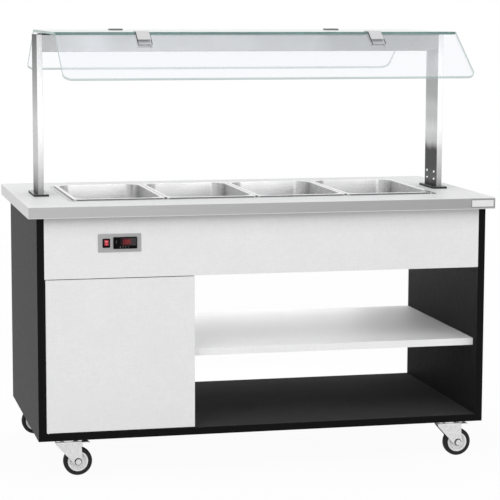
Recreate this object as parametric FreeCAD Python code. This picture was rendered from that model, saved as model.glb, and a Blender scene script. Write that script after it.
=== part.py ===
import FreeCAD, Part
import math
import os

from FreeCAD import Vector

# Heated serving trolley: a cabinet of boards on four castors, a slab worktop with a
# sunk well for four food pans, and a glass canopy carried by two flat posts and a beam.
# Millimetres, +Z up, X along the trolley, the control side faces -Y,
# origin on the floor under the middle of the worktop.

# Cabinet
bodyWidth = 1600.0
bodyDepth = 800.0
carcassHeight = 770.0
boardThickness = 25.0
fasciaHeight = 210.0
fasciaThickness = 18.0
coverThickness = 12.0
cupboardWidth = 520.0
shelfRise = 272.0
shelfThickness = 25.0
shelfSetback = 39.0
shelfPinDiameter = 6.0
shelfPinSink = 10.0
shelfPinReach = 14.0
shelfPinInset = 60.0

# Door
doorThickness = 18.0
doorGap = 3.0
doorRecess = 2.0
doorStopGap = 1.0
pivotDiameter = 5.0
pivotInset = 6.0
pivotDepth = 16.0
pivotCollarDiameter = 9.0
bushWall = 1.2
bushFlangeDiameter = 11.0
bushFlangeThickness = 1.2
bushDepth = 14.0

# Worktop
worktopThickness = 40.0
frontOverhang = 20.0
backOverhang = 45.0
sideOverhang = 30.0
worktopCornerRadius = 4.0
worktopEdgeBevel = 1.0

# Food pans, full gastronorm size
panCount = 4
panWidth = 325.0
panLength = 530.0
panHeight = 100.0
panSpacing = 2.0
panWall = 1.0
panRimWidth = 12.0
panLipHeight = 4.5
panTaper = 6.0
panRimCorner = 16.0
panBodyCorner = 48.0
panFloorRadius = 14.0

# Well
wellHeight = 160.0
wellWall = 1.5
wellCorner = 30.0
wellFloorBevel = 8.0
panToWell = 4.0
wellFlangeWidth = 22.0
wellFlangeThickness = 1.5
wellToWorktop = 2.0
barWidth = 18.0
barHeight = 16.0
barWall = 1.5
elementDiameter = 8.5
elementRise = 22.0
elementTurnRadius = 120.0
elementTurnInset = 190.0
elementTail = 24.0
elementNutAcross = 22.0
elementNutThickness = 6.0

# Control plate with a switch and a digital thermostat
plateWidth = 150.0
plateHeight = 64.0
plateThickness = 2.0
plateCorner = 3.0
plateFromSide = 208.0
plateFromTop = 58.0
switchWidth = 26.0
switchHeight = 31.0
switchProud = 2.5
switchFromPlateEdge = 16.0
switchBodyDepth = 24.0
switchFlange = 3.0
rockerWidth = 17.0
rockerHeight = 22.0
rockerFaceHeight = 19.0
rockerPivotDepth = 6.0
rockerTilt = 9.0
rockerPinDiameter = 2.4
rockerPinLength = 1.2
rockerReach = 11.0
rockerDip = 1.4
thermoWidth = 82.0
thermoHeight = 40.0
thermoProud = 6.0
thermoCorner = 3.0
thermoGap = 11.0
thermoBodyDepth = 55.0
thermoFlange = 4.0
displayWidth = 55.0
displayHeight = 26.0
displayDepth = 2.0
displayInset = 24.0
displayRise = 4.0
keyCount = 4
keyWidth = 6.4
keyHeight = 3.6
keyPitch = 9.4
keyInset = 37.0
keyProud = 0.8
keyDepth = 2.6
keyDrop = 13.5
keyTravel = 0.5

# Canopy posts and beam
postThickness = 20.0
postDepth = 138.0
postWall = 2.0
postToWell = 48.0
postTop = 1514.0
postPlateWidth = 52.0
postPlateDepth = 172.0
postPlateThickness = 8.0
postPlateCorner = 4.0
spigotHeight = 72.0
boltPitchY = 78.0
boltPitchZ = 27.0
boltRise = 24.0
boltDiameter = 6.0
boltHeadDiameter = 11.0
boltHeadHeight = 3.3
beamHeight = 60.0
beamWall = 2.0
beamEdgeRadius = 2.0
padThickness = 3.0
padWidth = 30.0

# Glass canopy
glassEndInset = 13.0
glassTopDepth = 580.0
glassThickness = 10.0
wingThickness = 8.0
wingReach = 220.0
wingDrop = 150.0
wingGap = 3.0
wingCorner = 32.0
clipWidth = 46.0
clipSpacing = 830.0
clipThickness = 3.0
clipLegTop = 40.0
clipLegOuter = 46.0
clipLegInner = 76.0

# Castors
castorHeight = 135.0
castorInsetX = 108.0
castorInsetY = 60.0
castorTrail = 33.0
wheelDiameter = 100.0
tyreWidth = 28.0
tyreSeatDiameter = 71.0
tyreRound = 9.0
hubLength = 33.0
hubBossDiameter = 22.0
hubWebThickness = 9.0
hubRimWall = 8.5
axleDiameter = 10.0
axleHeadAcross = 19.0
axleHeadHeight = 7.0
axleTail = 3.0
castorPlateLength = 95.0
castorPlateWidth = 85.0
castorPlateThickness = 3.0
castorPlateCorner = 8.0
castorBoltPitchX = 74.0
castorBoltPitchY = 62.0
castorBoltHeadAcross = 13.0
castorBoltHeadHeight = 5.3
cupDiameter = 56.0
cupHeight = 9.5
cupTaper = 3.0
kingpinDiameter = 12.0
kingpinHeadDiameter = 20.0
kingpinHeadHeight = 3.0
forkThickness = 3.0
forkClearance = 3.0
forkEyeRadius = 15.0
forkBendRadius = 4.0
crownNose = 43.0
crownTail = 45.0
noseSkirt = 7.0
tailSkirt = 14.0
crownWindowX = 24.0
pedalThickness = 2.5
pedalPivotX = 38.0
pedalPivotDrop = 9.0
pedalPinDiameter = 5.0
pedalReach = 37.0
pedalLip = 6.0
shoeThickness = 4.0
brakeAngle = 8.0

# Clearances
runningFit = 0.05
seatGap = 0.3
swivelGap = 0.5
keyFit = 0.3
castorNames = ("front_left", "front_right", "back_left", "back_right")

# Derived places
worktopWidth = bodyWidth + 2 * sideOverhang
worktopDepth = bodyDepth + frontOverhang + backOverhang
frontY = -worktopDepth / 2 + frontOverhang
backY = frontY + bodyDepth
carcassTop = castorHeight + carcassHeight
floorTop = castorHeight + boardThickness
worktopTop = carcassTop + worktopThickness
fasciaBottom = carcassTop - fasciaHeight
innerX = bodyWidth / 2 - boardThickness
dividerX = -innerX + cupboardWidth
fasciaBackY = frontY + fasciaThickness
panPitch = panWidth + panSpacing
panBodyWidth = panWidth - 2 * panRimWidth
panBodyLength = panLength - 2 * panRimWidth
wellInnerX = (panCount - 1) * panPitch + panBodyWidth + 2 * panToWell
wellInnerY = panBodyLength + 2 * panToWell
flangeTop = worktopTop + wellFlangeThickness
panRimBottom = flangeTop + seatGap
panRimTop = panRimBottom + panLipHeight
wellFloorTop = flangeTop - wellHeight
hingeX = -innerX + doorGap + pivotInset
hingeY = frontY + doorRecess + pivotInset
doorBackY = frontY + doorRecess + doorThickness
dividerFrontY = doorBackY + doorStopGap
postCentreX = wellInnerX / 2 + wellFlangeWidth + postToWell + postPlateWidth / 2
postInnerX = postCentreX - postThickness / 2
glassWidth = 2 * (postInnerX - glassEndInset)
postBase = worktopTop + postPlateThickness
glassBottom = postTop + padThickness
glassTop = glassBottom + glassThickness
beamBottom = postTop - beamHeight
wingAngle = math.degrees(math.atan2(wingDrop, wingReach))
foldShift = wingGap + wingThickness * math.sin(math.radians(wingAngle))
plateX0 = -bodyWidth / 2 + plateFromSide
plateCentreZ = carcassTop - plateFromTop - plateHeight / 2
plateFrontY = frontY - plateThickness
switchX = plateX0 + switchFromPlateEdge + switchWidth / 2
thermoX = switchX + switchWidth / 2 + thermoGap + thermoWidth / 2
thermoFrontY = plateFrontY - thermoProud
switchFrontY = plateFrontY - switchProud
rockerAxisY = plateFrontY + rockerPivotDepth
keyZ = plateCentreZ - keyDrop
wheelRadius = wheelDiameter / 2
castorPlateBottom = castorHeight - castorPlateThickness
cupBottom = castorPlateBottom - cupHeight
crownTop = cupBottom - swivelGap
crownBottom = crownTop - forkThickness
forkInner = tyreWidth / 2 + forkClearance
forkOuter = forkInner + forkThickness


# Box between two corners given as ranges
def block(x0, x1, y0, y1, z0, z1):
    return Part.makeBox(x1 - x0, y1 - y0, z1 - z0, Vector(x0, y0, z0))


# Cylinder from a start point along an axis
def rod(diameter, length, start, axis):
    return Part.makeCylinder(diameter / 2, length, start, axis)


# Rounded rectangle in a horizontal plane, centred on x, y
def roundedWire(sizeX, sizeY, corner, x, y, z):
    hx = sizeX / 2
    hy = sizeY / 2
    k = corner * (1 - math.sqrt(0.5))
    edges = []
    for sx, sy, turned in ((1, -1, False), (1, 1, True), (-1, 1, False), (-1, -1, True)):
        a = Vector(x + sx * (hx - corner), y + sy * hy, z)
        b = Vector(x + sx * hx, y + sy * (hy - corner), z)
        m = Vector(x + sx * (hx - k), y + sy * (hy - k), z)
        if turned:
            a, b = b, a
        edges.append(Part.Arc(a, m, b).toShape())
        ends = (a, b)
        if len(edges) > 1:
            edges.insert(-1, Part.makeLine(last, ends[0]))
        else:
            first = ends[0]
        last = ends[1]
    edges.append(Part.makeLine(last, first))
    return Part.Wire(edges)


# Upright slab with rounded vertical corners
def roundedSlab(sizeX, sizeY, corner, x, y, z0, z1):
    face = Part.Face(roundedWire(sizeX, sizeY, corner, x, y, z0))
    return face.extrude(Vector(0, 0, z1 - z0))


# Closed outline from points, lying wherever the points lie
def outline(points):
    return Part.Face(Part.makePolygon(points + [points[0]]))


# Hexagonal prism with the given distance across its flats
def hexPrism(across, height, start, axis):
    r = across / math.sqrt(3)
    points = [Vector(r * math.cos(math.radians(60 * i)), r * math.sin(math.radians(60 * i)), 0)
              for i in range(6)]
    prism = outline(points).extrude(Vector(0, 0, height))
    prism.Placement = FreeCAD.Placement(start, FreeCAD.Rotation(Vector(0, 0, 1), axis))
    return prism


def turned(shape, axis, angle, centre=Vector(0, 0, 0)):
    copy = shape.copy()
    copy.rotate(centre, axis, angle)
    return copy


def moved(shape, x=0, y=0, z=0):
    copy = shape.copy()
    copy.translate(Vector(x, y, z))
    return copy


def mirroredY(shape):
    return shape.mirror(Vector(0, 0, 0), Vector(0, 1, 0))


# Fillet every straight edge that a test picks
def softened(shape, radius, test):
    edges = [e for e in shape.Edges if test(e)]
    return shape.makeFillet(radius, edges)


# The same with a flat bevel
def bevelled(shape, size, test):
    edges = [e for e in shape.Edges if test(e)]
    return shape.makeChamfer(size, edges)


def export(shape, node):
    shape.exportStep("parts/" + node + ".step")


# ---- cabinet boards

def sidePanel(sign):
    x0, x1 = sorted((sign * innerX, sign * bodyWidth / 2))
    panel = block(x0, x1, frontY, backY, castorHeight, carcassTop)
    if sign > 0:
        for hole in shelfPinHoles(sign):
            panel = panel.cut(hole)
    return panel


def shelfPinPlaces():
    zTop = floorTop + shelfRise - shelfThickness
    y0 = frontY + shelfSetback + shelfPinInset
    return [(y, zTop - shelfPinDiameter / 2 - seatGap) for y in (y0, backY - shelfPinInset)]


def shelfPinHoles(sign):
    x = innerX if sign > 0 else dividerX
    return [rod(shelfPinDiameter, shelfPinSink, Vector(x, y, z), Vector(sign, 0, 0))
            for y, z in shelfPinPlaces()]


def shelfPins():
    pins = []
    for sign, x in ((1, innerX), (-1, dividerX)):
        for y, z in shelfPinPlaces():
            start = Vector(x + sign * shelfPinSink, y, z)
            pins.append(rod(shelfPinDiameter, shelfPinSink + shelfPinReach, start, Vector(-sign, 0, 0)))
    return Part.makeCompound(pins)


def bottomPanel():
    panel = block(-innerX, innerX, frontY, backY, castorHeight, floorTop)
    return panel.cut(bushHole(floorTop, -1))


def bushHole(z, up):
    diameter = pivotDiameter + 2 * runningFit + 2 * bushWall
    return rod(diameter, bushDepth, Vector(hingeX, hingeY, z), Vector(0, 0, up))


def fasciaFront():
    panel = block(-innerX, innerX, frontY, fasciaBackY, fasciaBottom, carcassTop)
    panel = panel.cut(bushHole(fasciaBottom, 1))
    for x, w, h in ((switchX, switchWidth, switchHeight), (thermoX, thermoWidth, thermoHeight)):
        flange = switchFlange if x == switchX else thermoFlange
        panel = panel.cut(cutOut(x, w - 2 * flange, h - 2 * flange))
    return panel


# Hole through the fascia and its plate for a body behind a flange
def cutOut(x, width, height):
    w = width / 2 + seatGap
    h = height / 2 + seatGap
    return block(x - w, x + w, plateFrontY - 1, fasciaBackY + 1, plateCentreZ - h, plateCentreZ + h)


def fasciaBack():
    return block(-innerX, innerX, backY - fasciaThickness, backY, fasciaBottom, carcassTop)


def ceilingBoard():
    return block(-innerX, innerX, fasciaBackY, backY - fasciaThickness, fasciaBottom,
                 fasciaBottom + coverThickness)


def shelf():
    top = floorTop + shelfRise
    return block(dividerX, innerX, frontY + shelfSetback, backY, top - shelfThickness, top)


def divider():
    panel = block(dividerX - boardThickness, dividerX, dividerFrontY, backY, floorTop, fasciaBottom)
    for hole in shelfPinHoles(-1):
        panel = panel.cut(hole)
    return panel


def cupboardBack():
    return block(-innerX, dividerX - boardThickness, backY - fasciaThickness, backY, floorTop,
                 fasciaBottom)


# ---- door on two pivot pins in flanged bushes

def door():
    z0 = floorTop + doorGap
    z1 = fasciaBottom - doorGap
    panel = block(-innerX + doorGap, dividerX, doorBackY - doorThickness, doorBackY, z0, z1)
    panel = softened(panel, pivotInset / 3, lambda e: upright(e, -innerX + doorGap))
    for z, up in ((z0, 1), (z1, -1)):
        panel = panel.cut(rod(pivotDiameter, pivotDepth, Vector(hingeX, hingeY, z), Vector(0, 0, up)))
    return panel


def upright(edge, x):
    box = edge.BoundBox
    return box.XLength < 1e-6 and box.YLength < 1e-6 and abs(box.XMin - x) < 1e-6


def doorPivots():
    pins = []
    for z, up in ((floorTop + doorGap, 1), (fasciaBottom - doorGap, -1)):
        reach = doorGap + bushDepth - 2 * seatGap
        collar = doorGap - bushFlangeThickness - seatGap
        pin = rod(pivotDiameter, pivotDepth + reach, Vector(hingeX, hingeY, z + up * pivotDepth),
                  Vector(0, 0, -up))
        ring = rod(pivotCollarDiameter, collar, Vector(hingeX, hingeY, z), Vector(0, 0, -up))
        pins.append(pin.fuse(ring))
    return Part.makeCompound(pins)


def doorBushes():
    bushes = []
    bore = pivotDiameter + 2 * runningFit
    for z, up in ((floorTop, 1), (fasciaBottom, -1)):
        base = Vector(hingeX, hingeY, z - up * bushDepth)
        sleeve = rod(bore + 2 * bushWall, bushDepth, base, Vector(0, 0, up))
        flange = rod(bushFlangeDiameter, bushFlangeThickness, Vector(hingeX, hingeY, z), Vector(0, 0, up))
        hole = rod(bore, bushDepth + bushFlangeThickness, base, Vector(0, 0, up))
        bushes.append(sleeve.fuse(flange).cut(hole))
    return Part.makeCompound(bushes)


# ---- worktop, well and pans

def worktop():
    slab = roundedSlab(worktopWidth, worktopDepth, worktopCornerRadius, 0, 0, carcassTop, worktopTop)
    slab = bevelled(slab, worktopEdgeBevel, lambda e: e.BoundBox.ZMin > worktopTop - 1e-6)
    grow = 2 * (wellWall + wellToWorktop)
    hole = roundedSlab(wellInnerX + grow, wellInnerY + grow, wellCorner + grow / 2, 0, 0,
                       carcassTop - 1, worktopTop + 1)
    return slab.cut(hole)


def well():
    outer = 2 * wellWall
    tank = roundedSlab(wellInnerX + outer, wellInnerY + outer, wellCorner + wellWall, 0, 0,
                       wellFloorTop - wellWall, flangeTop)
    tank = bevelled(tank, wellFloorBevel + wellWall / 2, lambda e: e.BoundBox.ZMax < wellFloorTop)
    flange = roundedSlab(wellInnerX + 2 * wellFlangeWidth, wellInnerY + 2 * wellFlangeWidth,
                         wellFlangeWidth, 0, 0, worktopTop, flangeTop)
    space = roundedSlab(wellInnerX, wellInnerY, wellCorner, 0, 0, wellFloorTop, flangeTop + 1)
    space = bevelled(space, wellFloorBevel, lambda e: e.BoundBox.ZMax < wellFloorTop + 1e-6)
    tank = tank.fuse(flange).cut(space)
    for y in elementEnds():
        start = elementPoint(-wellInnerX / 2 - 2 * wellWall, y)
        tank = tank.cut(rod(elementDiameter, 4 * wellWall, start, Vector(1, 0, 0)))
    return tank


def panBars():
    bars = []
    for i in range(1, panCount):
        x = (i - panCount / 2) * panPitch
        bar = block(x - barWidth / 2, x + barWidth / 2, -wellInnerY / 2, wellInnerY / 2,
                    flangeTop - barHeight, flangeTop)
        inside = block(x - barWidth / 2 + barWall, x + barWidth / 2 - barWall, -wellInnerY / 2,
                       wellInnerY / 2, flangeTop - barHeight - 1, flangeTop - barWall)
        bars.append(bar.cut(inside))
    return Part.makeCompound(bars)


def elementPoint(x, y):
    return Vector(x, y, wellFloorTop + elementRise)


def elementEnds():
    return (-elementTurnRadius, elementTurnRadius)


# Rod bent into a long hairpin, its two ends clamped in the left wall of the well
def heatingElement():
    turnX = wellInnerX / 2 - elementTurnInset
    endX = -wellInnerX / 2 - wellWall - elementTail
    runs = [rod(elementDiameter, turnX - endX, elementPoint(endX, y), Vector(1, 0, 0))
            for y in elementEnds()]
    disc = Part.Face(Part.Wire(Part.makeCircle(elementDiameter / 2, elementPoint(turnX, -elementTurnRadius),
                                               Vector(1, 0, 0))))
    bend = disc.revolve(elementPoint(turnX, 0), Vector(0, 0, 1), 180)
    solids = [runs[0].multiFuse([runs[1], bend])]
    for y in elementEnds():
        start = elementPoint(-wellInnerX / 2 - wellWall, y)
        nut = hexPrism(elementNutAcross, elementNutThickness, start, Vector(-1, 0, 0))
        solids.append(nut.cut(rod(elementDiameter, elementNutThickness, start, Vector(-1, 0, 0))))
    return Part.makeCompound(solids)


# Tapered tub between two heights, its floor edge rounded in steps
def tub(x, sizeX, sizeY, corner, taper, radius, top, bottom):
    wires = []
    for i in range(3):
        a = math.radians(45 * i)
        inset = taper + radius * (1 - math.sin(a))
        wires.append(roundedWire(sizeX - 2 * inset, sizeY - 2 * inset, corner - inset / 2, x, 0,
                                 bottom + radius * (1 - math.cos(a))))
    wires.append(roundedWire(sizeX, sizeY, corner, x, 0, top))
    return Part.makeLoft(wires, True, True)


# Pressed pan: tapered body with a flat rim all round, its edge turned down to stand on the flange
def pan(index):
    x = (index - (panCount - 1) / 2) * panPitch
    outer = tub(x, panBodyWidth, panBodyLength, panBodyCorner, panTaper, panFloorRadius, panRimTop,
                panRimTop - panHeight)
    inner = tub(x, panBodyWidth - 2 * panWall, panBodyLength - 2 * panWall, panBodyCorner - panWall,
                panTaper, panFloorRadius - panWall, panRimTop, panRimTop - panHeight + panWall)
    rim = roundedSlab(panWidth, panLength, panRimCorner, x, 0, panRimBottom, panRimTop)
    under = roundedSlab(panWidth - 2 * panWall, panLength - 2 * panWall, panRimCorner - panWall, x, 0,
                        panRimBottom - 1, panRimTop - panWall)
    return rim.cut(under).fuse(outer).cut(inner)


# ---- control plate

def controlPlate():
    plate = roundedFront(plateWidth, plateHeight, plateCorner, plateX0 + plateWidth / 2, plateFrontY, frontY)
    plate = plate.cut(cutOut(switchX, switchWidth - 2 * switchFlange, switchHeight - 2 * switchFlange))
    return plate.cut(cutOut(thermoX, thermoWidth - 2 * thermoFlange, thermoHeight - 2 * thermoFlange))


# Rounded plate facing the front, between two depths
def roundedFront(width, height, corner, x, y0, y1):
    slab = roundedSlab(width, height, corner, 0, 0, 0, y1 - y0)
    slab = turned(slab, Vector(1, 0, 0), 90)
    return moved(slab, x, y1, plateCentreZ)


def switchBezel():
    flange = roundedFront(switchWidth, switchHeight, 2 * switchProud / 2, switchX, switchFrontY, plateFrontY)
    flange = bevelled(flange, switchProud / 3, lambda e: e.BoundBox.YMax < switchFrontY + 1e-6)
    w = switchWidth / 2 - switchFlange
    h = switchHeight / 2 - switchFlange
    body = block(switchX - w, switchX + w, plateFrontY, plateFrontY + switchBodyDepth, plateCentreZ - h,
                 plateCentreZ + h)
    rw = rockerWidth / 2 + keyFit
    rh = rockerHeight / 2 + keyFit
    pocket = block(switchX - rw, switchX + rw, switchFrontY - 1, rockerAxisY + rockerPivotDepth,
                   plateCentreZ - rh, plateCentreZ + rh)
    pin = rod(rockerPinDiameter + 2 * runningFit, 2 * (rw + rockerPinLength),
              Vector(switchX - rw - rockerPinLength, rockerAxisY, plateCentreZ), Vector(1, 0, 0))
    return flange.fuse(body).cut(pocket).cut(pin)


# Rocker with two sloping faces, tilted to its on position about its pin
def rocker():
    face = rockerFaceHeight / 2
    front = rockerAxisY - rockerReach
    x = switchX - rockerWidth / 2
    sideways = [(front, -face), (front + rockerDip, 0), (front, face), (rockerAxisY, face - rockerDip),
                (rockerAxisY + rockerPinDiameter, face / 2), (rockerAxisY + rockerPinDiameter, -face / 2),
                (rockerAxisY, rockerDip - face)]
    points = [Vector(x, y, plateCentreZ + z) for y, z in sideways]
    body = outline(points).extrude(Vector(rockerWidth, 0, 0))
    end = rockerWidth / 2 + rockerPinLength
    pin = rod(rockerPinDiameter, 2 * end, Vector(switchX - end, rockerAxisY, plateCentreZ), Vector(1, 0, 0))
    centre = Vector(switchX, rockerAxisY, plateCentreZ)
    return turned(body.fuse(pin), Vector(1, 0, 0), -rockerTilt, centre)


def keyPlaces():
    middle = thermoX - thermoWidth / 2 + keyInset
    return [middle + (i - (keyCount - 1) / 2) * keyPitch for i in range(keyCount)]


def thermostatCase():
    front = roundedFront(thermoWidth, thermoHeight, thermoCorner, thermoX, thermoFrontY, plateFrontY)
    front = bevelled(front, thermoProud / 4, lambda e: e.BoundBox.YMax < thermoFrontY + 1e-6)
    w = thermoWidth / 2 - thermoFlange
    h = thermoHeight / 2 - thermoFlange
    body = block(thermoX - w, thermoX + w, plateFrontY, plateFrontY + thermoBodyDepth, plateCentreZ - h,
                 plateCentreZ + h)
    case = front.fuse(body).cut(displayBlock())
    for x in keyPlaces():
        wx = keyWidth / 2 + keyFit
        wz = keyHeight / 2 + keyFit
        back = thermoFrontY + keyDepth + keyTravel
        case = case.cut(block(x - wx, x + wx, thermoFrontY - 1, back, keyZ - wz, keyZ + wz))
    return case


def displayBlock():
    x0 = thermoX - thermoWidth / 2 + displayInset
    z0 = plateCentreZ + displayRise - displayHeight / 2
    return block(x0, x0 + displayWidth, thermoFrontY, thermoFrontY + displayDepth, z0, z0 + displayHeight)


def thermostatKey(x):
    y0 = thermoFrontY - keyProud
    key = block(x - keyWidth / 2, x + keyWidth / 2, y0, thermoFrontY + keyDepth - seatGap,
                keyZ - keyHeight / 2, keyZ + keyHeight / 2)
    return bevelled(key, keyProud / 2, lambda e: e.BoundBox.YMax < y0 + 1e-6)


# ---- canopy posts, beam and glass pads

def postBoltPlaces():
    return [(y, postBase + z) for y in (-boltPitchY / 2, boltPitchY / 2)
            for z in (boltRise, boltRise + boltPitchZ)]


def post(sign):
    x = sign * postCentreX
    tube = block(x - postThickness / 2, x + postThickness / 2, -postDepth / 2, postDepth / 2, postBase,
                 postTop)
    tube = softened(tube, postWall / 2, lambda e: e.BoundBox.ZLength > beamHeight)
    w = postWall
    space = block(x - postThickness / 2 + w, x + postThickness / 2 - w, -postDepth / 2 + w,
                  postDepth / 2 - w, postBase - 1, postTop - w)
    tube = tube.cut(space)
    for y, z in postBoltPlaces():
        start = Vector(x - sign * (postThickness / 2 - 1.5 * postWall), y, z)
        tube = tube.cut(rod(boltDiameter, 3 * postWall, start, Vector(-sign, 0, 0)))
    return tube


# Foot plate with a block that stands inside the hollow post
def postPlates():
    feet = []
    for sign in (-1, 1):
        x = sign * postCentreX
        plate = roundedSlab(postPlateWidth, postPlateDepth, postPlateCorner, x, 0, worktopTop, postBase)
        w = postThickness / 2 - postWall - runningFit
        d = postDepth / 2 - postWall - runningFit
        foot = plate.fuse(block(x - w, x + w, -d, d, postBase, postBase + spigotHeight))
        for y, z in postBoltPlaces():
            foot = foot.cut(rod(boltDiameter, w + 1, Vector(x - sign * (w + 1), y, z), Vector(sign, 0, 0)))
        feet.append(foot)
    return Part.makeCompound(feet)


# Low button heads on the inner face of each post, with their shanks in the foot block
def postBolts():
    bolts = []
    for sign in (-1, 1):
        face = sign * postInnerX
        centre = sign * postCentreX
        for y, z in postBoltPlaces():
            start = Vector(face, y, z)
            topRadius = (boltHeadDiameter - boltHeadHeight) / 2
            head = Part.makeCone(boltHeadDiameter / 2, topRadius, boltHeadHeight, start, Vector(-sign, 0, 0))
            shank = rod(boltDiameter, abs(centre - face), start, Vector(sign, 0, 0))
            bolts.append(head.fuse(shank))
    return Part.makeCompound(bolts)


def beam():
    bar = block(-postInnerX, postInnerX, -postDepth / 2, postDepth / 2, beamBottom, postTop)
    bar = softened(bar, beamEdgeRadius, lambda e: e.BoundBox.XLength > beamHeight)
    w = beamWall
    space = block(-postInnerX - 1, postInnerX + 1, -postDepth / 2 + w, postDepth / 2 - w, beamBottom + w,
                  postTop - w)
    return bar.cut(space)


# Dark pads on both ends of the beam, which carry the flat pane
def glassPads():
    pads = []
    for x in (-postInnerX, postInnerX - padWidth):
        pads.append(block(x, x + padWidth, -postDepth / 2, postDepth / 2, postTop, glassBottom))
    return Part.makeCompound(pads)


# ---- glass canopy: a flat pane and two sloping wings

def clipCentres():
    return (-clipSpacing / 2, clipSpacing / 2)


def glassPane():
    half = glassWidth / 2
    return block(-half, half, -glassTopDepth / 2, glassTopDepth / 2, glassBottom, glassTop)


# The front wing is built lying flat behind its upper edge, then swung down about that edge
def frontWing():
    length = math.hypot(wingReach, wingDrop)
    pane = block(-glassWidth / 2, glassWidth / 2, -length, 0, -wingThickness, 0)
    pane = softened(pane, wingCorner, lambda e: e.BoundBox.ZLength > wingThickness / 2
                    and e.BoundBox.YMax < -length / 2)
    pane = turned(pane, Vector(1, 0, 0), wingAngle)
    return moved(pane, 0, -glassTopDepth / 2 - foldShift, glassTop)


# Points of a line that follows pane and wing at a distance from their outer faces
def foldLine(x, leg, topOffset, wingOffset):
    s = math.sin(math.radians(wingAngle))
    c = math.cos(math.radians(wingAngle))
    foldY = -glassTopDepth / 2
    cornerZ = glassTop + topOffset
    cornerY = foldY - foldShift - (wingOffset - topOffset * c) / s
    low = Vector(x, foldY - foldShift - leg * c - wingOffset * s, glassTop - leg * s + wingOffset * c)
    return [Vector(x, foldY + clipLegTop, cornerZ), Vector(x, cornerY, cornerZ), low]


# Bent strip between two such lines
def bentStrip(x, leg, near, far):
    strip = outline(foldLine(x, leg, *near) + list(reversed(foldLine(x, leg, *far))))
    return strip.extrude(Vector(clipWidth, 0, 0))


# Clip: outer and longer inner bent strips joined by a web in the gap between pane and wing
def frontClip(centre):
    x = centre - clipWidth / 2
    t = clipThickness
    outer = bentStrip(x, clipLegOuter, (seatGap, seatGap), (seatGap + t, seatGap + t))
    inner = bentStrip(x, clipLegInner, (-glassThickness - seatGap - t, -wingThickness - seatGap - t),
                      (-glassThickness - seatGap, -wingThickness - seatGap))
    foldY = -glassTopDepth / 2
    web = block(x, x + clipWidth, foldY - wingGap + seatGap, foldY - seatGap,
                glassBottom - seatGap - t / 2, glassTop + seatGap + t / 2)
    return outer.multiFuse([inner, web])


# Both front clips; the back ones are their mirror image
def frontClips():
    return [frontClip(x) for x in clipCentres()]


# ---- castors, built with the swivel axis on Z and the wheel trailing towards +X

def castorPlate():
    plate = roundedSlab(castorPlateLength, castorPlateWidth, castorPlateCorner, 0, 0, castorPlateBottom,
                        castorHeight)
    cup = Part.makeCone(cupDiameter / 2 - cupTaper, cupDiameter / 2, cupHeight, Vector(0, 0, cupBottom))
    pin = rod(kingpinDiameter, castorHeight - crownBottom + swivelGap, Vector(0, 0, castorHeight),
              Vector(0, 0, -1))
    head = Part.makeCone(kingpinHeadDiameter / 2 - cupTaper, kingpinHeadDiameter / 2, kingpinHeadHeight,
                         Vector(0, 0, crownBottom - swivelGap - kingpinHeadHeight))
    return plate.multiFuse([cup, pin, head])


def castorBoltHeads():
    heads = []
    for sx in (-1, 1):
        for sy in (-1, 1):
            at = Vector(sx * castorBoltPitchX / 2, sy * castorBoltPitchY / 2, castorPlateBottom)
            heads.append(hexPrism(castorBoltHeadAcross, castorBoltHeadHeight, at, Vector(0, 0, -1)))
    return heads


# Side outline of the pressed fork: a crown over the swivel axis, legs narrowing to the axle eye
def forkOutline():
    r = forkEyeRadius
    axleZ = wheelRadius
    def tangent(px, pz, side):
        dx = px - castorTrail
        dz = pz - axleZ
        d = math.hypot(dx, dz)
        a = math.atan2(dz, dx) + side * math.acos(r / d)
        return Vector(castorTrail + r * math.cos(a), 0, axleZ + r * math.sin(a))
    leftTop = Vector(-crownNose, 0, crownTop)
    leftLow = Vector(-crownNose, 0, crownBottom - noseSkirt)
    rightTop = Vector(crownTail, 0, crownTop)
    rightLow = Vector(crownTail, 0, crownBottom - tailSkirt)
    a = tangent(leftLow.x, leftLow.z, 1)
    b = tangent(rightLow.x, rightLow.z, -1)
    low = Vector(castorTrail, 0, axleZ - r)
    corners = [b, rightLow, rightTop, leftTop, leftLow, a]
    edges = [Part.makeLine(corners[i], corners[i + 1]) for i in range(len(corners) - 1)]
    edges.append(Part.Arc(a, low, b).toShape())
    return Part.Face(Part.Wire(edges))


def fork(braked):
    side = forkOutline()
    shell = moved(side.extrude(Vector(0, 2 * forkOuter, 0)), 0, -forkOuter)
    shell = softened(shell, forkBendRadius, lambda e: e.BoundBox.ZMin > crownTop - 1e-6
                     and e.BoundBox.XLength > forkEyeRadius)
    inside = block(-crownNose - 1, castorTrail + wheelDiameter, -forkInner, forkInner, 0, crownBottom)
    shell = shell.cut(inside)
    if braked:
        window = block(crownWindowX, castorTrail + wheelDiameter, -forkInner, forkInner, 0, castorHeight)
        shell = shell.cut(window)
    shell = shell.cut(rod(kingpinDiameter + 2 * runningFit, castorHeight, Vector(0, 0, 0), Vector(0, 0, 1)))
    holes = [(axleDiameter, castorTrail, wheelRadius)]
    if braked:
        holes.append((pedalPinDiameter + 2 * runningFit, pedalPivotX, crownTop - pedalPivotDrop))
    for diameter, x, z in holes:
        shell = shell.cut(rod(diameter, 4 * forkOuter, Vector(x, -2 * forkOuter, z), Vector(0, 1, 0)))
    return shell


# Axle bolt with its nut
def axle():
    across = Vector(0, 1, 0)
    near = Vector(castorTrail, -forkOuter, wheelRadius)
    far = Vector(castorTrail, forkOuter, wheelRadius)
    bolt = rod(axleDiameter, 2 * forkOuter + axleHeadHeight + axleTail, near, across)
    bolt = bolt.fuse(hexPrism(axleHeadAcross, axleHeadHeight, near, -across))
    nut = hexPrism(axleHeadAcross, axleHeadHeight, far, across)
    return Part.makeCompound([bolt, nut.cut(rod(axleDiameter, axleHeadHeight, far, across))])


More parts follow.
